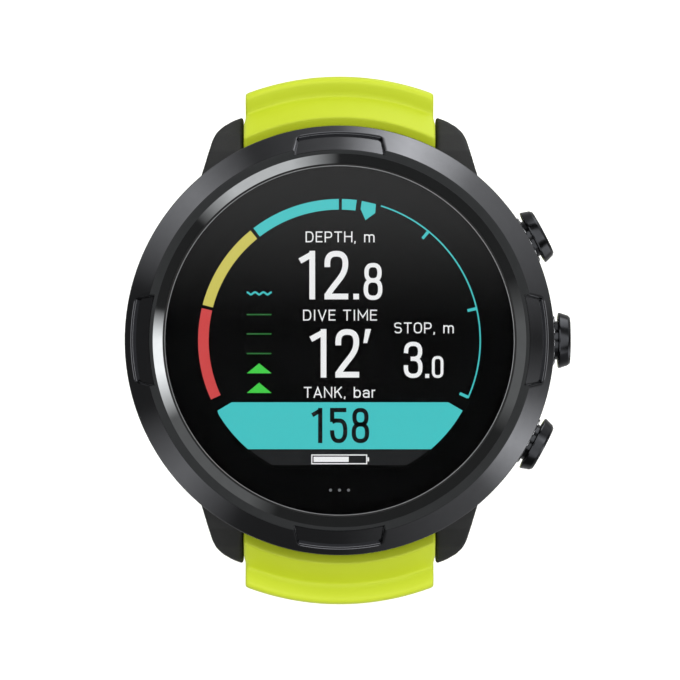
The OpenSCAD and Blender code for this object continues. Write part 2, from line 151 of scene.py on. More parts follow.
def boolean_cut(o, verts, faces):
    """Cuts a closed cutter, in mm, out of o and applies it."""
    me = bpy.data.meshes.new("cutter")
    me.from_pydata([(v[0] * MM, v[1] * MM, v[2] * MM) for v in verts], [], faces)
    bm = bmesh.new()
    bm.from_mesh(me)
    bmesh.ops.recalc_face_normals(bm, faces=bm.faces)
    bm.to_mesh(me)
    bm.free()
    c = bpy.data.objects.new("cutter", me)
    bpy.context.scene.collection.objects.link(c)
    m = o.modifiers.new("cut", "BOOLEAN")
    m.operation, m.solver, m.object = "DIFFERENCE", "EXACT", c
    bake(o)
    bpy.data.objects.remove(c)
    bpy.data.meshes.remove(me)


def bake(o):
    """Applies every modifier on o."""
    bpy.context.view_layer.update()
    dg = bpy.context.evaluated_depsgraph_get()
    me = bpy.data.meshes.new_from_object(o.evaluated_get(dg), preserve_all_data_layers=True, depsgraph=dg)
    old = o.data
    o.modifiers.clear()
    o.data = me
    me.name = o.name
    bpy.data.meshes.remove(old)


# ------------------------------------------------------------------ materials
class Mat:
    """A Principled material with node shortcuts. Steady values sit on the shader's own sockets."""

    def __init__(self, name, **sockets):
        self.m = bpy.data.materials.new(name)
        self.m.use_nodes = True
        self.nt = self.m.node_tree
        self.nt.nodes.clear()
        self.b = self.add("ShaderNodeBsdfPrincipled")
        out = self.add("ShaderNodeOutputMaterial")
        self.link(self.b.outputs[0], out.inputs["Surface"])
        for k, v in sockets.items():
            s = self.b.inputs[k.replace("_", " ")]
            s.default_value = (*v, 1) if isinstance(v, tuple) and len(v) == 3 else v
        self.coord = None

    def add(self, kind, **props):
        n = self.nt.nodes.new(kind)
        for k, v in props.items():
            setattr(n, k, v)
        return n

    def link(self, a, b):
        self.nt.links.new(a, b)

    def co(self):
        if self.coord is None:
            self.coord = self.add("ShaderNodeTexCoord").outputs["Object"]
        return self.coord

    def noise(self, scale, detail=3, rough=0.55, vec=None):
        n = self.add("ShaderNodeTexNoise")
        n.inputs["Scale"].default_value = scale
        n.inputs["Detail"].default_value = detail
        n.inputs["Roughness"].default_value = rough
        self.link(vec or self.co(), n.inputs["Vector"])
        return n.outputs["Fac"]

    def remap(self, val, lo, hi, a=0.3, b=0.7):
        n = self.add("ShaderNodeMapRange")
        for k, v in zip(("From Min", "From Max", "To Min", "To Max"), (a, b, lo, hi)):
            n.inputs[k].default_value = v
        self.link(val, n.inputs["Value"])
        return n.outputs[0]

    def math(self, op, a, b=None):
        n = self.add("ShaderNodeMath", operation=op)
        for i, v in enumerate((a, b)):
            if v is None:
                continue
            if isinstance(v, (int, float)):
                n.inputs[i].default_value = v
            else:
                self.link(v, n.inputs[i])
        return n.outputs[0]

    def colors(self, fac, c0, c1):
        n = self.add("ShaderNodeMix", data_type="RGBA")
        self.link(fac, n.inputs[0])
        n.inputs[6].default_value = (*c0, 1)
        n.inputs[7].default_value = (*c1, 1)
        self.link(n.outputs[2], self.b.inputs["Base Color"])
        return n.outputs[2]

    def rough(self, val):
        self.link(val, self.b.inputs["Roughness"])

    def bump(self, height, strength, distance):
        n = self.add("ShaderNodeBump")
        n.inputs["Strength"].default_value = strength
        n.inputs["Distance"].default_value = distance
        self.link(height, n.inputs["Height"])
        self.link(n.outputs[0], self.b.inputs["Normal"])

    def turned(self, across, along):
        """A coordinate for brushing that runs round the dial axis: fine across, long along."""
        sep = self.add("ShaderNodeSeparateXYZ")
        self.link(self.co(), sep.inputs[0])
        x, y, z = sep.outputs
        r = self.math("SQRT", self.math("ADD", self.math("MULTIPLY", x, x), self.math("MULTIPLY", y, y)))
        a = self.math("ARCTAN2", y, x)
        c = self.add("ShaderNodeCombineXYZ")
        self.link(self.math("MULTIPLY", r, across), c.inputs[0])
        self.link(self.math("MULTIPLY", z, across), c.inputs[1])
        self.link(self.math("MULTIPLY", a, along), c.inputs[2])
        return c.outputs[0]


def satin_metal(name, color, rough, bump=0.12, spread=0.06):
    m = Mat(name, Metallic=1.0)
    v = m.turned(9000, 3)
    n = m.noise(1.0, 4, 0.6, v)
    m.rough(m.remap(n, rough - spread, rough + spread))
    m.colors(m.noise(900, 2), tuple(c * 0.92 for c in color), tuple(c * 1.06 for c in color))
    m.bump(n, bump, 0.00001)
    return m.m


def plain_metal(name, color, rough, grain=5000, bump=0.1, spread=0.05):
    m = Mat(name, Metallic=1.0)
    n = m.noise(grain, 4, 0.6)
    m.rough(m.remap(n, rough - spread, rough + spread))
    m.colors(m.noise(700, 3), tuple(c * 0.9 for c in color), tuple(min(1, c * 1.06) for c in color))
    m.bump(n, bump, 0.000012)
    return m.m


def plastic(name, color, rough, grain=7000, bump=0.25, spec=0.5, depth=0.00002):
    m = Mat(name, Specular_IOR_Level=spec)
    n = m.noise(grain, 3, 0.6)
    m.rough(m.remap(n, rough - 0.05, rough + 0.07))
    m.colors(m.noise(600, 3), tuple(c * 0.9 for c in color), tuple(min(1, c * 1.1) for c in color))
    m.bump(n, bump, depth)
    return m.m


def glow(name, rgb, strength=1.0):
    c = lin(*rgb)
    m = Mat(name, Base_Color=(0.004, 0.004, 0.004), Roughness=0.5, Specular_IOR_Level=0.1, Emission_Color=c, Emission_Strength=strength)
    return m.m


BEZEL = satin_metal("bezel_satin", (0.115, 0.117, 0.124), 0.15, 0.03, 0.02)
RING = satin_metal("bezel_ring", (0.028, 0.0292, 0.03), 0.42, 0.12, 0.04)
CHAMFER = plain_metal("bezel_polished", (0.30, 0.31, 0.315), 0.045, 3000, 0.01, 0.01)
POLYMER = plastic("case_polymer", (0.014, 0.0142, 0.0142), 0.58, 6500, 0.35, 0.28)
BUTTON = plain_metal("button_coated", (0.04, 0.0415, 0.045), 0.17, 2500, 0.04, 0.03)
LIME = Mat("silicone_lime", Specular_IOR_Level=0.4)
_n = LIME.noise(5200, 3, 0.6)
LIME.rough(LIME.remap(_n, 0.42, 0.54))
LIME.colors(LIME.noise(160, 3), (0.425, 0.507, 0.014), (0.455, 0.537, 0.02))
LIME.bump(_n, 0.22, 0.00002)
LIME = LIME.m
CRYSTAL = Mat("mineral_crystal", Base_Color=(0.97, 0.98, 0.985), Roughness=0.0, IOR=1.5, Transmission_Weight=1.0).m
RUBBER = plastic("seal_black", (0.012, 0.012, 0.012), 0.6, 4000, 0.2, 0.3)
MASK = plastic("mask_print", (0.001, 0.001, 0.0011), 0.5, 3000, 0.01, 0.02)
PANEL = plastic("display_black", (0.0022, 0.0022, 0.0023), 0.45, 3000, 0.01, 0.02)
GROUND = plastic("crystal_ground_edge", (0.26, 0.265, 0.27), 0.35, 5000, 0.1)
COLLAR = plain_metal("collar_polished", (0.62, 0.63, 0.65), 0.26, 3000, 0.03, 0.03)
STEEL = satin_metal("back_steel", (0.33, 0.33, 0.335), 0.32, 0.3, 0.07)

INNER = {
    "bushing_steel": plain_metal("bushing_steel", (0.5, 0.5, 0.51), 0.22),
    "light_guide": plastic("light_guide", (0.8, 0.82, 0.84), 0.4),
    "frame_plastic": plastic("frame_plastic", (0.06, 0.06, 0.063), 0.5),
    "antenna_brass": plain_metal("antenna_brass", (0.72, 0.5, 0.2), 0.28),
    "chassis_aluminium": plain_metal("chassis_aluminium", (0.55, 0.56, 0.58), 0.35),
    "flex_film": plastic("flex_film", (0.5, 0.24, 0.04), 0.3),
    "board_green": plastic("board_green", (0.015, 0.11, 0.05), 0.35),
    "chip_black": plastic("chip_black", (0.015, 0.015, 0.017), 0.5),
    "shield_tin": plain_metal("shield_tin", (0.68, 0.68, 0.66), 0.3),
    "switch_metal": plain_metal("switch_metal", (0.58, 0.58, 0.56), 0.35),
    "cell_can": plain_metal("cell_can", (0.6, 0.61, 0.63), 0.35),
    "motor_steel": plain_metal("motor_steel", (0.6, 0.6, 0.61), 0.2),
    "weight_metal": plain_metal("weight_metal", (0.33, 0.32, 0.3), 0.45),
    "buzzer_brass": plain_metal("buzzer_brass", (0.72, 0.55, 0.22), 0.3),
    "ferrite": plastic("ferrite", (0.03, 0.03, 0.033), 0.6),
    "copper_wire": plain_metal("copper_wire", (0.62, 0.26, 0.1), 0.3),
    "sensor_steel": plain_metal("sensor_steel", (0.4, 0.4, 0.41), 0.3),
    "contact_plastic": plastic("contact_plastic", (0.014, 0.014, 0.014), 0.5),
    "contact_gold": plain_metal("contact_gold", (0.82, 0.58, 0.2), 0.18),
    "back_steel": STEEL,
    "screw_steel": plain_metal("screw_steel", (0.45, 0.45, 0.455), 0.25),
    "spring_steel": plain_metal("spring_steel", (0.5, 0.5, 0.5), 0.25),
    "bar_steel": plain_metal("bar_steel", (0.48, 0.48, 0.49), 0.24),
    "seal_rubber": RUBBER,
    "mask_black": MASK,
    "panel_glass": PANEL,
    "case_polymer": POLYMER,
    "bezel_steel": BEZEL,
    "button_steel": BUTTON,
    "crystal_glass": CRYSTAL,
    "strap_silicone": LIME,
    "buckle_steel": BEZEL,
}
for s in frame["record"]["subparts"]:
    o = NODES[s["node"]]
    o.data.materials.clear()
    o.data.materials.append(INNER[s["material_slot"]])


# ------------------------------------------------------------------ bezel
def bevel_z(r):
    """Height of the plain outer bevel at radius r."""
    return CASE_H - 0.12 - (r - 24.02) * (2.26 / 2.36)


def bezel_profiles():
    """Two matching (r, z) loops: the plain section, and the section through a grip notch."""
    plain, notch, zone = [], [], []

    def put(p, q=None, m=0):
        plain.append(p)
        notch.append(q or p)
        zone.append(m)

    # inside, up past the gasket seat to the polished chamfer
    put((21.75, 14.0)); put((21.75, 15.4)); put((21.75, 15.849), m=1)
    for t in (0.15, 0.4, 0.7, 0.93):
        put((21.79 + 1.09 * t, 15.872 + 0.616 * t), m=1)
    put((22.905, 16.492), m=1)
    put((22.92, 16.5), m=2); put((23.12, 16.5), m=2)
    put((23.30, 16.5), (23.26, 16.5), m=2)
    put((23.50, 16.5), (23.33, 16.485), m=2)
    put((23.70, 16.5), (23.365, 16.44), m=2)
    put((23.86, 16.5), (23.375, 16.24), m=2)
    put((23.95, 16.485), (23.39, 16.14), m=2)
    put((24.00, 16.435), (23.44, 16.07))
    put((24.05, 16.365), (23.53, 15.99))
    for t in (0.06, 0.2, 0.4, 0.6, 0.8, 0.94, 1.0):
        r = 24.08 + 1.30 * t
        put((r, bevel_z(r)), (23.58 + 1.80 * t, 15.94 - 1.53 * t))
    put((25.45, bevel_z(25.45)), (25.44, 14.375))
    put((25.52, bevel_z(25.52)), (25.50, 14.40))
    put((25.62, bevel_z(25.62)), (25.60, 14.60))
    put((25.68, bevel_z(25.68)), (25.66, 14.76))
    put((25.74, bevel_z(25.74)), (25.72, 14.78))
    for r in (25.82, 26.0, 26.2, 26.33):
        put((r, bevel_z(r)))
    put((26.41, 14.08)); put((26.465, 13.99)); put((26.49, 13.9)); put((26.5, 13.78))
    put((26.5, 13.0)); put((26.5, 12.2)); put((26.5, 11.75)); put((26.47, 11.65)); put((26.40, 11.6))
    put((22.0, 11.6)); put((21.95, 9.95)); put((21.2, 9.9)); put((21.2, 13.3)); put((20.6, 13.3)); put((20.6, 14.0))
    return plain, notch, zone


def half_angle(r):
    if r < 23.3:
        return 13.75
    if r < 25.2:
        return 13.75 - (r - 23.3) / 1.9 * 2.15
    if r < 25.9:
        t = (r - 25.2) / 0.7
        return 11.6 - 1.9 * t * t
    return 9.7


def build_bezel():
    plain, notch, zone = bezel_profiles()
    cols = []  # (kind, parameter, weight of the notch section)
    n_in, n_out = 26, 44
    for i in range(-n_in, n_in + 1):
        cols.append(("in", i / n_in, 1.0))
    steps = [(0.10, 0.93), (0.22, 0.60), (0.36, 0.22), (0.50, 0.05), (0.68, 0.0)]
    right = [("off", d, w) for d, w in steps]
    right += [("out", (i + 1) / n_out, 0.0) for i in range(n_out)]
    left = [("off", -d, w) for d, w in reversed(steps)]
    left = [("out", -(i + 1) / n_out, 0.0) for i in reversed(range(n_out - 1))] + left
    cols = left + cols + right
    verts, faces, mats = [], [], []
    n_c, n_p = len(cols) * 4, len(plain)
    for quad in range(4):
        for kind, p, w in cols:
            for i in range(n_p):
                r = plain[i][0] * (1 - w) + notch[i][0] * w
                z = plain[i][1] * (1 - w) + notch[i][1] * w
                h = half_angle(r)
                if kind == "in":
                    a = p * h
                elif kind == "off":
                    a = math.copysign(h + abs(p), p)
                else:
                    a = math.copysign(h + 0.68 + (45 - h - 0.68) * abs(p), p)
                t = math.radians(90 * quad + a)
                verts.append((r * math.cos(t), r * math.sin(t), z))
    for c in range(n_c):
        d = (c + 1) % n_c
        for i in range(n_p):
            j = (i + 1) % n_p
            faces.append((c * n_p + i, d * n_p + i, d * n_p + j, c * n_p + j))
            mats.append(zone[i])
    o = make("bezel_ring", verts, faces, [BEZEL, CHAMFER, RING], "case", mats, 28)
    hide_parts("bezel")


build_bezel()

# ------------------------------------------------------------------ crystal, and the black print ring just under it
o = lathe("crystal_lens", [(0, 14.22), (21.44, 14.22), (21.5, 14.28), (21.5, 15.86), (21.42, 15.95), (21.2, 15.95), (0, 15.95)],
          [CRYSTAL, MASK, GROUND], "case", 256, mat_of=lambda j: (0, 1, 1, 2, 0, 0, 0)[j])
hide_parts("crystal")
lathe("crystal_print", [(20.2, 14.204), (21.42, 14.204), (21.42, 14.214), (20.2, 14.214)], MASK, "case", 192)

# ------------------------------------------------------------------ mid case: softened copy of the moulding
def box(x0, x1, y0, y1, z0, z1):
    v = [(x, y, z) for x in (x0, x1) for y in (y0, y1) for z in (z0, z1)]
    return v, [(0, 1, 3, 2), (4, 6, 7, 5), (0, 4, 5, 1), (2, 3, 7, 6), (0, 2, 6, 4), (1, 5, 7, 3)]


def softened(name, node, voxel, iters, mat, body, cuts=()):
    src = NODES[node]
    o = bpy.data.objects.new(name, src.data.copy())
    bpy.context.scene.collection.objects.link(o)
    w = o.modifiers.new("weld", "WELD")
    w.merge_threshold = 0.000005
    bake(o)
    for c in cuts:
        boolean_cut(o, *c)
    r = o.modifiers.new("voxel", "REMESH")
    r.mode, r.voxel_size, r.use_smooth_shade = "VOXEL", voxel * MM, True
    s = o.modifiers.new("soft", "SMOOTH")
    s.factor, s.iterations = 0.5, iters
    bake(o)
    o.data.materials.clear()
    o.data.materials.append(mat)
    o.data.shade_smooth()
    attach(o, body)
    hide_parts(node)
    return o


# the underside of the flange is relieved over each strap end, where it swings
softened("mid_case", "case_body", 0.26, 5, POLYMER, "case",
         cuts=[box(-12, 12, 22.54, 28.5, 6.5, 10.75), box(-12, 12, -28.5, -22.54, 6.5, 10.75)])


# ------------------------------------------------------------------ buttons
def button_frame(deg):
    a = math.radians(deg)
    return Matrix.Rotation(a, 4, "Z") @ Matrix.Translation((0, 0, 6.9)) @ Matrix.Rotation(math.radians(90), 4, "Y")


BTN_PROF = [(0, 20.4), (1.05, 20.4), (1.2, 20.55), (1.2, 20.98), (0.8, 20.98), (0.8, 21.38), (1.2, 21.38), (1.2, 22.72), (0.83, 22.72),
            (0.83, 23.18), (1.2, 23.18), (1.2, 25.0), (2.4, 25.0)]
CAP = fillet([(2.4, 25.0), (2.4, 27.6), (3.12, 27.6), (3.12, 27.25), (3.3, 27.2), (3.45, 27.22), (3.46, 27.4), (3.14, 28.4), (2.86, 28.71), (1.7, 28.74),
              (1.55, 28.70), (0.6, 28.72)], [0, 0, 0, 0.03, 0.03, 0.06, 0.1, 0.22, 0.25, 0.05, 0.05, 0.1], 4, False)
for nm, deg in (("upper", 28), ("middle", 0), ("lower", -28)):
    o = lathe("push_button_" + nm, BTN_PROF[:-1] + CAP + [(0, 28.73)], BUTTON, nm + "_button", 96, at=button_frame(deg), angle=30)
    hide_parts("button_" + nm)



def fluted_collars():
    """Turned steel sleeves in the case wall, each with a slotted crown that the cap closes over."""
    verts, faces = [], []
    n = 180
    prof = [(2.47, 23.4), (2.47, 26.72), (2.52, 26.78), (2.98, 26.78), (3.05, 26.70), (3.05, 26.1), (3.05, 26.05), (3.27, 26.05), (3.3, 26.0), (3.3, 25.65), (2.98, 25.62),
            (2.98, 21.43), (2.95, 21.4), (1.25, 21.4), (1.25, 23.4)]
    for deg in (28, 0, -28):
        at, base, m = button_frame(deg), len(verts), len(prof)
        for i in range(n):
            a = 2 * math.pi * i / n
            slot_on = (i % 15) > 6
            for j, (r, u) in enumerate(prof):
                if slot_on and j in (1, 2, 3, 4, 5):
                    u = (0, 26.1, 26.14, 26.14, 26.1, 26.08)[j]
                verts.append(tuple(at @ Vector((r * math.cos(a), r * math.sin(a), u))))
        for i in range(n):
            k = (i + 1) % n
            for j in range(m):
                l = (j + 1) % m
                faces.append((base + i * m + j, base + k * m + j, base + k * m + l, base + i * m + l))
    o = make("button_sleeves", verts, faces, COLLAR, "case", None, 30)
    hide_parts("button_bushings")


fluted_collars()

# ------------------------------------------------------------------ strap
HW_ROOT, HW = 11.9, 11.7
ROOT = [  # outer (y, z), inner (y, z), share of the dial-centred curve across the width
    ((22.93, 4.0), (22.93, 3.2), 0.0), ((23.25, 4.87), (23.25, 2.35), 0.0), ((23.85, 5.55), (23.85, 1.65), 0.03), ((24.6, 6.4), (24.6, 1.25), 0.27),
    ((25.3, 7.35), (25.4, 1.1), 0.52), ((25.8, 8.5), (26.0, 1.0), 0.72), ((26.15, 9.35), (26.4, 0.85), 0.87), ((26.45, 9.7), (26.6, 0.75), 0.97),
    ((26.9, 9.87), (26.8, 0.6), 1.0), ((27.4, 10.03), (27.0, 0.45), 1.0), ((27.58, 10.1), (27.05, 0.35), 1.0), ((27.7, 10.11), (27.1, 0.25), 1.0),
    ((27.82, 10.06), (27.2, 0.1), 1.0), ((27.97, 9.93), (27.3, -0.05), 1.0), ((28.6, 9.36), (27.4, -0.2), 1.0), ((29.4, 8.64), (27.5, -0.4), 1.0),
    ((30.1, 7.98), (27.6, -0.6), 1.0), ((30.25, 7.87), (27.65, -0.75), 1.0), ((30.4, 7.79), (27.7, -0.9), 1.0), ((30.56, 7.8), (27.73, -1.05), 1.0),
    ((31.0, 8.0), (27.76, -1.15), 1.0), ((31.5, 8.24), (27.8, -1.3), 1.0), ((31.95, 8.45), (27.84, -1.5), 1.0), ((32.15, 8.5), (27.88, -1.75), 1.0),
    ((32.4, 8.44), (27.9, -1.9), 1.0), ((32.62, 8.28), (27.91, -2.0), 1.0), ((32.77, 8.02), (27.94, -2.3), 1.0), ((32.85, 7.7), (27.96, -2.6), 1.0),
    ((32.88, 7.2), (27.98, -2.9), 1.0), ((32.9, 5.2), (28.0, -3.2), 1.0), ((32.9, 2.2), (28.0, -3.5), 1.0), ((32.9, -0.8), (28.0, -3.9), 1.0),
    ((32.86, -3.0), (28.0, -4.3), 0.98), ((32.6, -3.6), (28.0, -4.5), 0.97), ((32.45, -4.05), (28.0, -4.7), 0.96),
    ((32.2, -4.3), (28.0, -4.85), 0.95), ((32.0, -4.45), (28.0, -5.0), 0.94), ((31.9, -4.75), (28.0, -5.15), 0.92), ((31.92, -5.05), (28.0, -5.3), 0.9),
    ((32.05, -5.35), (28.0, -5.5), 0.88), ((32.2, -5.62), (28.0, -5.75), 0.86), ((32.26, -6.3), (28.0, -6.4), 0.82), ((32.24, -9.6), (28.0, -9.6), 0.72),
    ((32.2, -10.15), (28.0, -10.15), 0.7), ((32.1, -10.5), (28.0, -10.5), 0.69), ((32.02, -10.8), (28.0, -10.8), 0.68), ((31.95, -11.2), (28.0, -11.2), 0.67),
    ((32.02, -11.6), (28.0, -11.6), 0.66), ((32.1, -12.1), (28.0, -12.1), 0.64), ((32.0, -15.4), (28.0, -15.4), 0.5), ((31.85, -16.1), (28.0, -16.1), 0.46),
    ((31.45, -16.7), (28.0, -16.7), 0.42), ((31.05, -17.4), (28.0, -17.4), 0.38), ((30.83, -18.2), (28.0, -18.2), 0.35), ((30.8, -20), (28, -20), 0.32),
    ((30.8, -24), (28, -24), 0.26), ((30.8, -29), (28, -29), 0.22), ((30.8, -34), (28, -34), 0.2)]


CURL_Y, CURL_Z, CURL_R, CURL_A = 0.0, -18.0, 28.0, 78.0
_t = math.radians(CURL_A)
BB = (CURL_Y + (CURL_R + 1.4) * math.cos(_t), CURL_Z - (CURL_R + 1.4) * math.sin(_t))


def unit2(a, b):
    d = Vector((b[0] - a[0], b[1] - a[1]))
    return d.normalized()


def strap_half(name, stations, sign, body):
    """stations: (outer, inner, share, half width, radius of the crossways curve). Each becomes one ring of points."""
    n_x, k_c = 30, 4
    rings = []
    for o, i, share, hw, yc in stations:
        gap = math.dist(o, i)
        r = min(0.42, gap * 0.35, hw * 0.4)
        d = unit2(o, i)
        root = o[1] > -20
        ring = []

        def crown(x):
            return share * (yc - math.sqrt(max(yc * yc - x * x, 1)))

        def outer(x, sink=0.0):
            c = crown(x)
            if root:
                return (x, o[0] - c + d.x * sink, o[1] + d.y * sink)
            return (x, o[0] + d.x * (c + sink), o[1] + d.y * (c + sink))

        def inner(x, rise=0.0):
            return (x, i[0] - d.x * rise, i[1] - d.y * rise)

        xs = [(-1 + 2 * j / n_x) * (hw - r) for j in range(n_x + 1)]
        ring += [outer(x) for x in xs]
        for j in range(1, k_c + 1):
            f = math.radians(90 * j / k_c)
            ring.append(outer(hw - r + r * math.sin(f), r * (1 - math.cos(f))))
        for j in range(k_c, 0, -1):
            f = math.radians(90 * j / k_c)
            ring.append(inner(hw - r + r * math.sin(f), r * (1 - math.cos(f))))
        ring += [inner(x) for x in reversed(xs)]
        for j in range(1, k_c + 1):
            f = math.radians(90 * j / k_c)
            ring.append(inner(-(hw - r + r * math.sin(f)), r * (1 - math.cos(f))))
        for j in range(k_c, 0, -1):
            f = math.radians(90 * j / k_c)
            ring.append(outer(-(hw - r + r * math.sin(f)), r * (1 - math.cos(f))))
        rings.append(ring)
    m = len(rings[0])
    verts = [(x, sign * y, z) for ring in rings for x, y, z in ring]
    faces = []
    for a in range(len(rings) - 1):
        for j in range(m):
            k = (j + 1) % m
            faces.append((a * m + j, a * m + k, (a + 1) * m + k, (a + 1) * m + j))
    # ends: match the outer row with the inner row
    for base in (0, (len(rings) - 1) * m):
        row_o = list(range(m - k_c, m)) + list(range(0, n_x + 1 + k_c))
        row_i = [n_x + 2 * k_c + 1 + n_x + k_c - j for j in range(len(row_o))]
        for j in range(len(row_o) - 1):
            faces.append((base + row_o[j], base + row_o[j + 1], base + row_i[j + 1], base + row_i[j]))
    o = make(name, verts, faces, LIME, body, None, 40, wn=False)
    return o


def half_width(o):
    """The strap is a touch narrower past the lugs."""
    if o[1] > -2 and o[0] < 29.9:
        return HW_ROOT
    return HW


def run(kind):
    rows = [r for r in ROOT if kind == "long" or r[0][1] > -18]
    out = [(o, i, k, half_width(o), max(o[0], 25.0) if o[1] > -20 else 31.0) for o, i, k in rows]
    if kind == "short":
        for a in range(0, 76, 3):
            t = math.radians(a)
            out.append(((CURL_Y + (CURL_R + 2.8) * math.cos(t), CURL_Z - (CURL_R + 2.8) * math.sin(t)),
                        (CURL_Y + CURL_R * math.cos(t), CURL_Z - CURL_R * math.sin(t)), 0.35 * (1 - a / 78), HW, 31.0))
        t = math.radians(CURL_A)
        down = Vector((-math.sin(t), -math.cos(t)))
        side = Vector((math.cos(t), -math.sin(t)))
        for along, half in ((-1.1, 1.62), (0.0, 1.9), (0.75, 1.74), (1.3, 1.38), (1.66, 0.92), (1.84, 0.45)):
            c = Vector(BB) + down * along
            out.append((tuple(c + side * half), tuple(c - side * half), 0.0, HW, 31.0))
    else:
        cy, cz, ri = 16.0, -(68 - 2.8 - 12), 12.0
        z = -38.0
        while z > cz + 0.5:
            out.append(((30.8, z), (28.0, z), 0.2, HW, 31.0))
            z -= 5.0
        for a in range(0, 91, 6):
            t = math.radians(a)
            out.append(((cy + (ri + 2.8) * math.cos(t), cz - (ri + 2.8) * math.sin(t)), (cy + ri * math.cos(t), cz - ri * math.sin(t)), 0.2 * (1 - a / 90), HW, 31.0))
        for y in (14, 11, 8, 5, 2, -0.5, -2.5, -4.5, -6.5, -8.3, -9.9, -11.2, -12.2, -12.9, -13.35, -13.62, -13.72):
            hw = HW if y > -2 else math.sqrt(max(HW * HW - (y + 2) ** 2, 0.2))
            edge = 1.0 if y > -12.9 else {-12.9: 0.97, -13.35: 0.86, -13.62: 0.66, -13.72: 0.4}[y]
            zc = -68 + 1.4
            out.append(((y, zc - 1.4 * edge), (y, zc + 1.4 * edge), 0.0, hw, 31.0))
    return out


def prism(points, axis_x0, axis_x1):
    n = len(points)
    v = [(axis_x0, y, z) for y, z in points] + [(axis_x1, y, z) for y, z in points]
    f = [tuple(range(n)), tuple(range(2 * n - 1, n - 1, -1))] + [(i, (i + 1) % n, n + (i + 1) % n, n + i) for i in range(n)]
    return v, f


def box_cutter(x0, x1, y0, y1, z0, z1):
    return prism([(y0, z0), (y1, z0), (y1, z1), (y0, z1)], x0, x1)


def spool(centre, axis, r, flare, half, reach):
    """A hole cutter with flared mouths half away from its centre."""
    prof = [(0, -reach), (r + flare, -reach), (r + flare, -half - 0.02), (r + flare * 0.35, -half + 0.12), (r, -half + 0.42), (r, half - 0.42),
            (r + flare * 0.35, half - 0.12), (r + flare, half + 0.02), (r + flare, reach), (0, reach)]
    v, f, _ = lathe_data(prof, 40)
    q = Vector((0, 0, 1)).rotation_difference(Vector(axis))
    return [tuple(q @ Vector(p) + Vector(centre)) for p in v], f


short = strap_half("strap_buckle_side", run("short"), 1, "short_strap")
boolean_cut(short, *box_cutter(4.9, 9.5, 24.45, 26.35, -2, 3.0))
_d, _s = Vector((math.sin(_t), math.cos(_t))), Vector((math.cos(_t), -math.sin(_t)))
_c = [Vector(BB) + _d * a + _s * b for a, b in ((-4, -4), (3.6, -4), (3.6, 4), (-4, 4))]
boolean_cut(short, *prism([tuple(p) for p in _c], -1.6, 1.6))
smooth(short, 40)
weighted(short)
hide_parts("strap_short")

long_ = strap_half("strap_tail_side", run("long"), -1, "long_strap")
boolean_cut(long_, *box_cutter(4.9, 9.5, -26.35, -24.45, -2, 3.0))
for k in range(10):
    s = -14 + 6 * k
    bend = 13.4 * math.pi / 2
    if s < 0:
        c, ax = (0, -29.4, -53.2 - s), (0, -1, 0)
    elif s < bend:
        a = s / 13.4
        c, ax = (0, -(16 + 13.4 * math.cos(a)), -53.2 - 13.4 * math.sin(a)), (0, -math.cos(a), -math.sin(a))
    else:
        c, ax = (0, -(16 - (s - bend)), -66.6), (0, 0, -1)
    boolean_cut(long_, *spool(c, ax, 1.3, 0.22, 1.4, 2.6))
smooth(long_, 40)
weighted(long_)
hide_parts("strap_long")


# ------------------------------------------------------------------ keepers
def keeper(name, at, node, body):
    def loop(x, y0, y1, r, n=6):
        pts = []
        for cx, cy, a0 in ((x - r, y1 - r, 0), (-x + r, y1 - r, 90), (-x + r, y0 + r, 180), (x - r, y0 + r, 270)):
            for i in range(n + 1):
                a = math.radians(a0 + 90 * i / n)
                pts.append((cx + r * math.cos(a), cy + r * math.sin(a)))
        return pts
    outer, inner = loop(13.28, -2.68, 5.08, 1.1), loop(12.2, -1.65, 4.1, 0.35)
    n = len(outer)
    sect = []  # (share from outer to inner, height)
    h, e = 3.0, 0.38
    for w, z in ((0.0, -h + e), (0.06, -h + 0.12), (0.3, -h), (0.7, -h), (0.94, -h + 0.12), (1.0, -h + e),
                 (1.0, h - e), (0.94, h - 0.12), (0.7, h), (0.3, h), (0.06, h - 0.12), (0.0, h - e), (-0.0, h * 0.4), (0.0, -h * 0.4)):
        sect.append((w, z))
    m = len(sect)
    verts, faces = [], []
    for i in range(n):
        for w, z in sect:
            x = outer[i][0] * (1 - w) + inner[i][0] * w
            y = outer[i][1] * (1 - w) + inner[i][1] * w
            verts.append(tuple(at @ Vector((x, y, z))))
    for i in range(n):
        k = (i + 1) % n
        for j in range(m):
            l = (j + 1) % m
            faces.append((i * m + j, k * m + j, k * m + l, i * m + l))
    o = make(name, verts, faces, LIME, body, None, 50)
    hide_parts(node)


def on_curl(deg):
    return Matrix.Translation((0, CURL_Y, CURL_Z)) @ Matrix.Rotation(math.radians(-deg), 4, "X") @ Matrix.Translation((0, CURL_R + 1.4, 0))


keeper("keeper_loose", on_curl(38), "keeper_free", "loose_keeper")
keeper("keeper_moulded", on_curl(56), "keeper_fixed", "short_strap")


# ------------------------------------------------------------------ buckle
def sweep(name, path, section, mat, body, closed=False, up=Vector((0, 1, 0))):
    """Sweeps a 2-D section (across, up) along a path of points in mm."""
    verts, faces, n, m = [], [], len(path), len(section)
    for i, p in enumerate(path):
        a, b = path[i - 1] if (i or closed) else p, path[(i + 1) % n] if (i < n - 1 or closed) else p
        t = (Vector(b) - Vector(a)).normalized()
        across = t.cross(up).normalized()
        for u, v in section:
            verts.append(tuple(Vector(p) + across * u + up * v))
    for i in range(n if closed else n - 1):
        k = (i + 1) % n
        for j in range(m):
            l = (j + 1) % m
            faces.append((i * m + j, k * m + j, k * m + l, i * m + l))
    if not closed:
        faces += [tuple(range(m)), tuple(range((n - 1) * m, n * m))]
    return make(name, verts, faces, mat, body, None, 40)


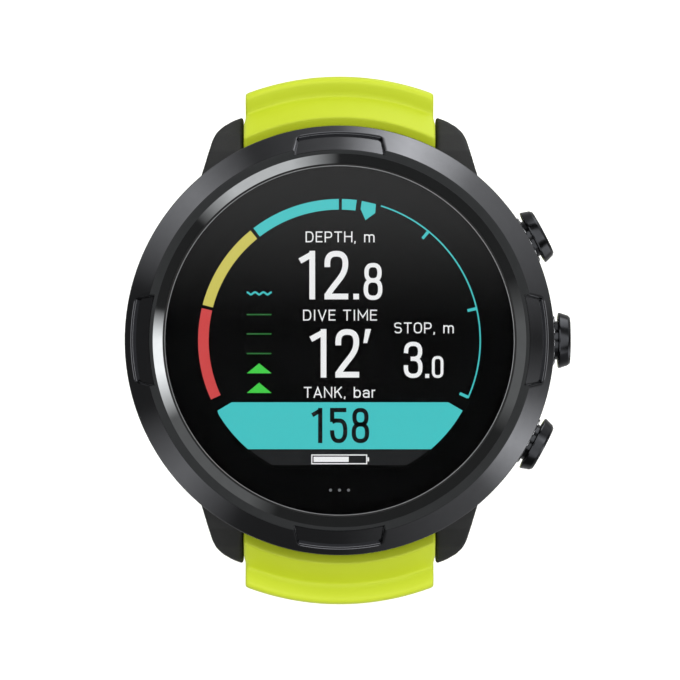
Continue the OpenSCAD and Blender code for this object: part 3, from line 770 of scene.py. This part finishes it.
def rounded_rect(w, h, r, n=4):
    pts = []
    for cx, cy, a0 in ((w - r, h - r, 0), (-w + r, h - r, 90), (-w + r, -h + r, 180), (w - r, -h + r, 270)):
        for i in range(n + 1):
            a = math.radians(a0 + 90 * i / n)
            pts.append((cx + r * math.cos(a), cy + r * math.sin(a)))
    return pts


def buckle():
    y, z = BB
    r, pts = 2.3, []
    pts += [(-13.12, y, z - 0.2), (-13.12, y, z - 4), (-13.12, y, z - 7.6)]
    for i in range(1, 8):
        a = math.radians(180 + 90 * i / 8)
        pts.append((-13.12 + r + r * math.cos(a), y, z - 10.5 + r + r * math.sin(a)))
    pts += [(-10, y, z - 10.5), (-5, y, z - 10.5), (0, y, z - 10.5), (5, y, z - 10.5), (10, y, z - 10.5)]
    for i in range(1, 8):
        a = math.radians(270 + 90 * i / 8)
        pts.append((13.12 - r + r * math.cos(a), y, z - 10.5 + r + r * math.sin(a)))
    pts += [(13.12, y, z - 7.6), (13.12, y, z - 4), (13.12, y, z - 0.2)]
    o = sweep("buckle_loop", pts, rounded_rect(0.86, 1.08, 0.42), BEZEL, "buckle")
    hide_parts("buckle_frame")
    for s in (-1, 1):
        prof = fillet([(0.5, -0.87), (1.6, -0.87), (1.6, 0.87), (0.5, 0.87)], [0, 0.25, 0.25, 0], 3)
        at = Matrix.Translation((s * 13.12, y, z)) @ Matrix.Rotation(math.radians(90), 4, "Y")
        lathe("buckle_eye_" + ("left" if s < 0 else "right"), prof, BEZEL, "buckle", 48, at=at)


buckle()


def tongue():
    y, z = BB
    prof = fillet([(0.85, -1.3), (1.7, -1.3), (1.7, 1.3), (0.85, 1.3)], [0, 0.2, 0.2, 0], 3)
    o = lathe("tongue_eye", prof, BEZEL, "tongue", 48, at=Matrix.Translation((0, y, z)) @ Matrix.Rotation(math.radians(90), 4, "Y"))
    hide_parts("buckle_tongue")
    line = [(0.45, -1.35, 0.72), (0.75, -3.0, 0.66), (1.2, -5.4, 0.6), (1.72, -8.0, 0.52), (1.78, -9.6, 0.5), (1.76, -10.8, 0.46), (1.72, -11.25, 0.36), (1.7, -11.45, 0.2)]
    verts, faces, sec = [], [], rounded_rect(1.0, 1.0, 0.55, 4)
    for dy, dz, t in line:
        w = 1.1 if dz > -10.5 else 1.1 * (t / 0.5)
        for u, v in sec:
            verts.append((u * w, y + dy + v * t, z + dz))
    m = len(sec)
    for i in range(len(line) - 1):
        for j in range(m):
            l = (j + 1) % m
            faces.append((i * m + j, (i + 1) * m + j, (i + 1) * m + l, i * m + l))
    faces += [tuple(range(m)), tuple(range((len(line) - 1) * m, len(line) * m))]
    make("tongue_blade", verts, faces, BEZEL, "tongue", None, 40)


tongue()


# ------------------------------------------------------------------ display
UI_Z = 14.03
UI_SCALE = 8.116
CYAN = glow("ui_cyan", (70, 200, 200), 1.0)
RED = glow("ui_red", (206, 70, 70), 1.06)
YELLOW = glow("ui_yellow", (205, 195, 92), 1.06)
GREEN = glow("ui_green", (66, 205, 70), 1.06)
GREEN_DIM = glow("ui_green_dim", (46, 120, 56), 1.0)
WHITE = glow("ui_white", (238, 238, 238), 1.08)
GREY = glow("ui_grey", (120, 122, 124), 1.0)
INK = glow("ui_ink", (1, 3, 3), 1.0)
DARK_BAND = glow("ui_dark_band", (22, 23, 24), 1.0)


def px(x, y):
    """Screen units of the readout to mm on the display: 8.116 units a millimetre, centred on the dial."""
    return ((x - 339.5) / UI_SCALE, (340.4 - y) / UI_SCALE)


class Layer:
    """Flat shapes, 0.02 mm thick, gathered into one mesh per colour."""

    def __init__(self, z):
        self.z, self.verts, self.faces = z, [], []

    def poly(self, pts):
        n, b = len(pts), len(self.verts)
        area = sum(pts[i - 1][0] * pts[i][1] - pts[i][0] * pts[i - 1][1] for i in range(n))
        if area < 0:
            pts = pts[::-1]
        self.verts += [(x, y, self.z) for x, y in pts] + [(x, y, self.z - 0.015) for x, y in pts]
        self.faces.append(tuple(range(b, b + n)))
        self.faces.append(tuple(range(b + 2 * n - 1, b + n - 1, -1)))
        self.faces += [(b + i, b + n + i, b + n + (i + 1) % n, b + (i + 1) % n) for i in range(n)]

    def strip(self, left, right, closed=False):
        n, b = len(left), len(self.verts)
        for p in (left, right):
            self.verts += [(x, y, self.z) for x, y in p]
        for p in (left, right):
            self.verts += [(x, y, self.z - 0.015) for x, y in p]
        for i in range(n if closed else n - 1):
            k = (i + 1) % n
            l0, l1, r0, r1 = b + i, b + k, b + n + i, b + n + k
            self.faces += [(l0, r0, r1, l1), (l0 + 2 * n, l1 + 2 * n, r1 + 2 * n, r0 + 2 * n),
                           (l0, l1, l1 + 2 * n, l0 + 2 * n), (r0, r0 + 2 * n, r1 + 2 * n, r1)]
        if not closed:
            self.faces += [(b, b + 2 * n, b + 3 * n, b + n), (b + n - 1, b + 2 * n - 1, b + 4 * n - 1, b + 3 * n - 1)]

    def ribbon(self, pts, width, closed=False):
        pts = [Vector(p) for p in pts]
        clean = [pts[0]]
        for p in pts[1:]:
            if (p - clean[-1]).length > 1e-4:
                clean.append(p)
        if closed and (clean[0] - clean[-1]).length < 1e-4:
            clean.pop()
        pts, n, left, right = clean, len(clean), [], []
        for i, p in enumerate(pts):
            d0 = (p - pts[i - 1]).normalized() if (i or closed) else None
            d1 = (pts[(i + 1) % n] - p).normalized() if (i < n - 1 or closed) else None
            d0, d1 = d0 or d1, d1 or d0
            n0, n1 = Vector((-d0.y, d0.x)), Vector((-d1.y, d1.x))
            m = (n0 + n1).normalized()
            k = width / 2 / max(m.dot(n0), 0.4)
            left.append(tuple(p + m * k))
            right.append(tuple(p - m * k))
        self.strip(left, right, closed)

    def arc(self, r0, r1, a0, a1, n=48):
        """Ring sector between angles clockwise from twelve."""
        pts = [math.radians(90 - (a0 + (a1 - a0) * i / n)) for i in range(n + 1)]
        self.strip([(r1 * math.cos(a), r1 * math.sin(a)) for a in pts], [(r0 * math.cos(a), r0 * math.sin(a)) for a in pts])

    def finish(self, name, mat):
        return make(name, self.verts, self.faces, mat, "case", None, 30, wn=False)


def ell(cx, cy, rx, ry, a0, a1, n=14, p=2.5):
    """Part of a squarish ellipse."""
    out = []
    for i in range(n + 1):
        a = math.radians(a0 + (a1 - a0) * i / n)
        c, s = math.cos(a), math.sin(a)
        out.append((cx + rx * math.copysign(abs(c) ** (2 / p), c), cy + ry * math.copysign(abs(s) ** (2 / p), s)))
    return out


def bez(p0, p1, p2, p3, n=12):
    out = []
    for i in range(n + 1):
        t = i / n
        out.append(tuple((1 - t) ** 3 * a + 3 * t * (1 - t) ** 2 * b + 3 * t * t * (1 - t) * c + t ** 3 * d for a, b, c, d in zip(p0, p1, p2, p3)))
    return out


def glyph(ch, w, h, s):
    """Centre lines of one character in a box w by h, drawn with a pen s wide: a list of (points, closed)."""
    c = s / 2
    L, R, B, T, cx = c, w - c, c, h - c, w / 2
    rx = (R - L) / 2
    hm = h * 0.53
    if ch == "0" or ch == "O":
        q = min(rx * 1.15, (T - B) / 2)
        return [(ell(cx, T - q, rx, q, 0, 180) + ell(cx, B + q, rx, q, 180, 360), True)]
    if ch == "1":
        return [([(R, 0), (R, h)], False), ([(0, h * 0.79), (R, T - c * 0.15)], False)]
    if ch == "2":
        q = rx * 1.1
        return [([(L, T - q * 1.35)] + ell(cx, T - q, rx, q, 180, 0) + bez((R, T - q * 1.0), (R, T - q * 2.2), (L + 0.42 * w, 0.40 * h), (L * 1.05, B * 1.5), 14)[1:], False),
                ([(0, c), (w, c)], False)]
    if ch == "3":
        qt, qb = (T - hm) / 2, (hm - B) / 2
        return [([(L, T - qt * 1.25)] + ell(cx, T - qt, rx * 0.96, qt, 180, -90, 22), False), (ell(cx, B + qb, rx, qb, 90, -180, 22) + [(L, B + qb * 1.25)], False),
                ([(cx - rx * 0.35, hm), (cx + rx * 0.1, hm)], False)]
    if ch == "5":
        q = h * 0.29
        y0 = B + 2 * q
        return [([(w * 0.94, T), (L, T), (L, y0 - s * 0.35)], False), ([(L, y0 - s * 0.35), (L + rx * 0.5, y0)] + ell(cx, B + q, rx, q, 90, -180, 22)[1:] + [(L, B + q * 1.05)], False)]
    if ch == "8":
        qt, qb = (T - hm) / 2, (hm - B) / 2
        return [(ell(cx, T - qt, rx * 0.9, qt, 0, 360, 36)[:-1], True), (ell(cx, B + qb, rx, qb, 0, 360, 36)[:-1], True)]
    if ch == ".":
        return [([(0, c), (s, c)], False)]
    if ch == ",":
        return [([(c, s * 1.05), (c * 0.2, -s * 1.1)], False)]
    if ch == "'":
        return [([(w * 0.62, h), (w * 0.36, h * 0.70)], False)]
    if ch == "D":
        return [([(L, B), (L, T)] + [(cx - rx * 0.1, T)] + ell(cx - rx * 0.1, h / 2, rx * 1.1, T - h / 2, 90, -90, 16) + [(L, B)], False), ([(L, 0), (L, h)], False)]
    if ch == "E":
        return [([(L, 0), (L, h)], False), ([(L, T), (w, T)], False), ([(L, hm), (w * 0.9, hm)], False), ([(L, B), (w, B)], False)]
    if ch == "P":
        q = (T - h * 0.44) / 2
        return [([(L, 0), (L, h)], False), ([(L, T), (cx, T)] + ell(cx, T - q, rx, q, 90, -90, 14) + [(L, T - 2 * q)], False)]
    if ch == "R":
        q = (T - h * 0.47) / 2
        return [([(L, 0), (L, h)], False), ([(L, T), (cx, T)] + ell(cx, T - q, rx, q, 90, -90, 14) + [(L, T - 2 * q)], False), ([(cx, T - 2 * q), (R, 0)], False)]
    if ch == "T":
        return [([(0, T), (w, T)], False), ([(cx, 0), (cx, h)], False)]
    if ch == "H":
        return [([(L, 0), (L, h)], False), ([(R, 0), (R, h)], False), ([(L, hm), (R, hm)], False)]
    if ch == "I":
        return [([(cx, 0), (cx, h)], False)]
    if ch == "V":
        return [([(L * 0.6, h), (cx, B * 0.6), (w - L * 0.6, h)], False)]
    if ch == "M":
        return [([(L, 0), (L, T), (cx, h * 0.3), (R, T), (R, 0)], False)]
    if ch == "N":
        return [([(L, 0), (L, T), (R, B), (R, h)], False)]
    if ch == "A":
        return [([(L * 0.6, 0), (cx, T), (w - L * 0.6, 0)], False), ([(w * 0.2, h * 0.3), (w * 0.8, h * 0.3)], False)]
    if ch == "K":
        return [([(L, 0), (L, h)], False), ([(R, h), (L + s * 0.4, h * 0.44)], False), ([(cx * 0.85, h * 0.58), (R, 0)], False)]
    if ch == "S":
        qt, qb = (T - hm) / 2, (hm - B) / 2
        return [(ell(cx, T - qt, rx, qt, 20, 270, 20) + ell(cx, B + qb, rx, qb, 90, -160, 20)[1:], False)]
    x = h * 0.74  # lower case height
    if ch == "m":
        q = (R - L) / 4
        return [([(L, 0), (L, x)], False), ([(L, x - c - q * 1.1)] + ell(L + q, x - c - q, q, q, 180, 0) + [(cx, 0)], False),
                ([(cx, x - c - q * 1.1)] + ell(cx + q, x - c - q, q, q, 180, 0) + [(R, 0)], False)]
    if ch == "a":
        q = rx * 0.9
        return [([(L, x - c - q * 0.7)] + ell(cx, x - c - q, rx, q, 150, 0) + [(R, 0)], False), (ell(cx, B + x * 0.24, rx, x * 0.24, 0, 360, 24)[:-1], True)]
    if ch == "b":
        return [([(L, 0), (L, h)], False), (ell(cx, x / 2, rx, x / 2 - c, 0, 360, 24)[:-1], True)]
    if ch == "r":
        return [([(L, 0), (L, x)], False), ([(L, x - rx)] + ell(cx + rx * 0.5, x - c - rx, rx * 1.5, rx, 180, 80), False)]
    return []


WIDTHS = {"D": 6.6, "E": 5.6, "P": 6.2, "T": 6.4, "H": 6.8, "I": 1.9, "V": 6.8, "M": 8.2, "N": 6.9, "A": 7.0, "K": 6.6, "S": 6.2, "O": 6.8, "m": 8.6, "a": 5.6, "b": 5.9, "r": 3.7, ",": 1.8, " ": 2.6}


def label(layer, text, x0, x1, y_base, h, s):
    """Small caption between x0 and x1, in screen units."""
    gap = 1.75
    total = sum(WIDTHS[c] for c in text) + gap * (len(text) - 1)
    k = (x1 - x0) / total
    x = x0
    for c in text:
        w = WIDTHS[c] * k
        for pts, closed in glyph(c, w, h, s):
            layer.ribbon([px(x + a, y_base - b) for a, b in pts], s / UI_SCALE, closed)
        x += w + gap * k


def digit(layer, ch, x0, x1, y0, y1, s):
    for pts, closed in glyph(ch, x1 - x0, y1 - y0, s):
        layer.ribbon([px(x0 + a, y1 - b) for a, b in pts], s / UI_SCALE, closed)


U = 1 / UI_SCALE
cy = Layer(UI_Z)
cy.arc(130.7 * U, 141.3 * U, -37.5, -0.3)
cy.arc(130.7 * U, 141.3 * U, 1.0, 7.0, 8)
cy.poly([px(*p) for p in ((361.8, 201.0), (375.8, 204.2), (375.2, 213.2), (365.4, 220.2), (360.6, 209.2))])
cy.arc(139.9 * U, 141.3 * U, 17.1, 114.2, 96)
for a in (39.2, 76.9, 113.8):
    cy.arc(131.2 * U, 140.2 * U, a - 0.62, a + 0.62, 3)
wave = []
for i in range(41):
    t = i / 40
    wave.append(px(246.8 + 25.0 * t, 294.6 - 2.3 * abs(math.cos(math.pi * 3 * t)) ** 1.6))
cy.ribbon(wave, 1.9 * U)
band = [px(231.7, 402.2), px(448.1, 402.2), px(462.5, 410.5)]
r_in = 141.3 * U
a0, a1 = math.atan2(*reversed(px(462.5, 410.5))), math.atan2(*reversed(px(430.8, 449.1)))
r0, r1 = Vector(px(462.5, 410.5)).length, Vector(px(430.8, 449.1)).length
for i in range(1, 13):
    a, r = a0 + (a1 - a0) * i / 12, r0 + (r1 - r0) * i / 12
    band.append((r * math.cos(a), r * math.sin(a)))
left = [(-x, y) for x, y in band[3:]][::-1]
band = band + left + [(px(217.6, 410.5))]
cy.poly(band)
cy.finish("readout_cyan", CYAN)

re = Layer(UI_Z)
re.arc(130.7 * U, 141.3 * U, -114.7, -76.8)
re.finish("readout_red", RED)
ye = Layer(UI_Z)
ye.arc(130.7 * U, 141.3 * U, -75.4, -39.0)
ye.finish("readout_yellow", YELLOW)
gr = Layer(UI_Z)
for yt, yb in ((363.3, 373.3), (382.6, 392.9)):
    gr.poly([px(259.2, yt), px(271.6, yb), px(246.8, yb)])
gr.finish("readout_green", GREEN)
gd = Layer(UI_Z)
for y in (314.6, 333.9, 353.5):
    gd.ribbon([px(246.8, y), px(271.4, y)], 1.25 * U)
gd.finish("readout_scale", GREEN_DIM)

wh = Layer(UI_Z)
label(wh, "DEPTH, m", 305.6, 374.5, 242.4, 10.9, 1.25)
label(wh, "DIVE TIME", 303.1, 377.0, 320.6, 10.9, 1.25)
label(wh, "TANK, bar", 303.9, 376.0, 397.7, 10.9, 1.25)
label(wh, "STOP, m", 394.2, 453.6, 333.3, 10.9, 1.25)
digit(wh, "1", 299.9, 315.1, 250.9, 299.4, 5.7)
digit(wh, "2", 324.5, 348.2, 250.9, 299.4, 5.7)
digit(wh, ".", 353.3, 359.1, 293.9, 299.4, 5.6)
digit(wh, "8", 363.6, 382.3, 263.0, 300.0, 4.3)
digit(wh, "1", 310.8, 326.4, 329.1, 377.5, 5.7)
digit(wh, "2", 335.4, 359.1, 329.1, 377.5, 5.7)
wh.poly([px(*p) for p in ((365.4, 329.0), (371.0, 329.0), (367.2, 343.0), (363.3, 343.0))])
digit(wh, "3", 403.7, 422.4, 341.8, 377.9, 4.2)
digit(wh, ".", 425.1, 429.1, 373.9, 377.9, 4.0)
digit(wh, "0", 431.8, 443.3, 356.0, 377.9, 2.8)
wh.strip([px(311.3, 454.3), px(367.2, 454.3), px(367.2, 464.1), px(311.3, 464.1)], [px(312.4, 455.4), px(366.1, 455.4), px(366.1, 463.0), px(312.4, 463.0)], True)
wh.poly([px(*p) for p in ((313.6, 456.6), (348.7, 456.6), (348.7, 461.8), (313.6, 461.8))])
wh.poly([px(*p) for p in ((367.4, 457.2), (369.0, 457.2), (369.0, 461.2), (367.4, 461.2))])
wh.finish("readout_white", WHITE)

ink = Layer(UI_Z + 0.02)
digit(ink, "1", 312.2, 322.4, 407.8, 443.0, 4.3)
digit(ink, "5", 330.0, 347.4, 407.8, 443.0, 4.3)
digit(ink, "8", 351.6, 369.2, 407.8, 443.0, 4.3)
ink.finish("readout_ink", INK)

dk = Layer(UI_Z - 0.02)
pts = []
rb = Vector(px(249.2, 449.1)).length
for i in range(13):
    y = 449.6 + (464.9 - 449.6) * i / 12
    yy = (y - 340.4) * U
    pts.append((math.sqrt(max(rb * rb - yy * yy, 0.01)), -yy))
dk.poly([(-x, y) for x, y in reversed(pts)] + pts)
dk.finish("readout_tray", DARK_BAND)

gy = Layer(14.215)
for dx in (-9.0, 0.0, 9.0):
    gy.poly([((dx + 1.5 * math.cos(math.radians(30 * i))) * U, (-149.5 + 1.5 * math.sin(math.radians(30 * i))) * U) for i in range(12)])
gy.finish("lens_dots", GREY)

# ------------------------------------------------------------------ stage, studio, camera
bpy.ops.mesh.primitive_circle_add(vertices=96, radius=4.0, fill_type="NGON", location=(0, 0, FLOOR_Z - 0.00003))
floor = bpy.context.object
floor.name = "floor"
fm = Mat("floor_pale", Specular_IOR_Level=0.1, Emission_Color=(1.0, 1.0, 1.0), Emission_Strength=0.22)
fm.colors(fm.noise(30, 2), (0.885, 0.885, 0.885), (0.9, 0.9, 0.9))
fm.rough(fm.remap(fm.noise(80, 2), 0.85, 0.95))
floor.data.materials.append(fm.m)
floor.visible_glossy = False


def studio():
    w = bpy.data.worlds.new("studio")
    bpy.context.scene.world = w
    w.use_nodes = True
    nt = w.node_tree
    nt.nodes.clear()
    add = nt.nodes.new
    link = nt.links.new

    def math_(op, a, b=0.0):
        n = add("ShaderNodeMath")
        n.operation = op
        for i, v in enumerate((a, b)):
            if isinstance(v, (int, float)):
                n.inputs[i].default_value = v
            else:
                link(v, n.inputs[i])
        return n.outputs[0]

    def step(v, a, b, lo=0.0, hi=1.0):
        n = add("ShaderNodeMapRange")
        n.interpolation_type = "SMOOTHSTEP"
        for k, x in zip(("From Min", "From Max", "To Min", "To Max"), (a, b, lo, hi)):
            n.inputs[k].default_value = x
        link(v, n.inputs["Value"])
        return n.outputs[0]

    def mix(f, a, b):
        return math_("ADD", math_("MULTIPLY", a, math_("SUBTRACT", 1.0, f)), math_("MULTIPLY", b, f))

    def half_ramp(u, stops, gain, first):
        n = add("ShaderNodeValToRGB")
        n.color_ramp.interpolation = "LINEAR"
        el = n.color_ramp.elements
        while len(el) > 1:
            el.remove(el[-1])
        for i, (p, v) in enumerate(stops):
            e = el[0] if i == 0 else el.new((p - first) / 180)
            if i == 0:
                e.position = 0.0
            e.color = (v / gain,) * 3 + (1,)
        link(math_("SUBTRACT", math_("MULTIPLY", u, 2.0), first / 180), n.inputs[0])
        return math_("MULTIPLY", n.outputs[0], gain)

    def ramp(u, stops, gain):
        lo = [s for s in stops if s[0] <= 180]
        hi = [s for s in stops if s[0] >= 180]
        side = math_("GREATER_THAN", u, 0.5)
        return mix(side, half_ramp(u, lo, gain, 0), half_ramp(u, hi, gain, 180))

    tc = add("ShaderNodeTexCoord")
    sep = add("ShaderNodeSeparateXYZ")
    link(tc.outputs["Generated"], sep.inputs[0])
    x, y, z = sep.outputs
    u = math_("FRACT", math_("ADD", math_("DIVIDE", math_("ARCTAN2", x, y), 2 * math.pi), 1.0))
    e = math_("MULTIPLY", math_("ARCSINE", z), 180 / math.pi)
    # a few broad soft boxes round the table, by bearing clockwise from twelve
    upper = ramp(u, [(0, .05), (20, .05), (30, .3), (65, .3), (80, 3), (90, 3), (100, .05), (130, .05), (145, 1.5), (165, 1.5), (180, .05),
                     (250, .05), (265, .3), (290, .3), (300, .05), (360, .05)], 4.0)
    lower = ramp(u, [(0, .5), (20, 4), (40, 1), (70, .5), (90, .1), (105, .5), (120, 2.5), (135, .5), (180, .1),
                     (210, .1), (230, 1), (250, .1), (285, .1), (315, 1.5), (335, .2), (360, .5)], 5.0)
    sky = math_("MULTIPLY", math_("ADD", 1.0, math_("MULTIPLY", y, 0.3)), 1.7)
    zen = step(math_("DIVIDE", y, math_("MAXIMUM", z, 0.05)), 0.002, 0.036, 0.012, 0.42)
    v = mix(step(e, 19, 24), lower, upper)
    v = mix(step(e, 40, 48), v, sky)
    v = mix(step(e, 76, 84), v, zen)
    v = mix(step(e, -32, -16), 0.42, v)
    lp = add("ShaderNodeLightPath")
    v = mix(lp.outputs["Is Camera Ray"], v, 0.97)
    bg = add("ShaderNodeBackground")
    out = add("ShaderNodeOutputWorld")
    link(v, bg.inputs["Color"])
    link(bg.outputs[0], out.inputs[0])


def soft_light(name, bearing, elev, dist, size, power):
    """A large soft panel, bearing in degrees clockwise from twelve. The dome carries the reflections."""
    d = bpy.data.lights.new(name, "AREA")
    d.shape, d.size, d.energy = "DISK", size, power
    o = bpy.data.objects.new(name, d)
    bpy.context.scene.collection.objects.link(o)
    b, e = math.radians(bearing), math.radians(elev)
    v = Vector((math.sin(b) * math.cos(e), math.cos(b) * math.cos(e), math.sin(e)))
    o.location = v * dist
    o.rotation_euler = v.to_track_quat("Z", "Y").to_euler()
    o.visible_glossy = False


studio()
soft_light("top_panel", 0, 60, 0.8, 0.36, 2.7)
soft_light("front_panel", 180, 42, 0.8, 0.3, 1.3)
cam_data = bpy.data.cameras.new("camera")
cam_data.sensor_width = 36
cam_data.lens = 8.15 * 600 * 36 / 680
cam_data.clip_start, cam_data.clip_end = 0.01, 20
cam = bpy.data.objects.new("camera", cam_data)
bpy.context.scene.collection.objects.link(cam)
cam.location = (0.06 * MM, 0.05 * MM, (CASE_H + 600) * MM)
bpy.context.scene.camera = cam
bpy.context.scene.view_settings.view_transform = "Standard"
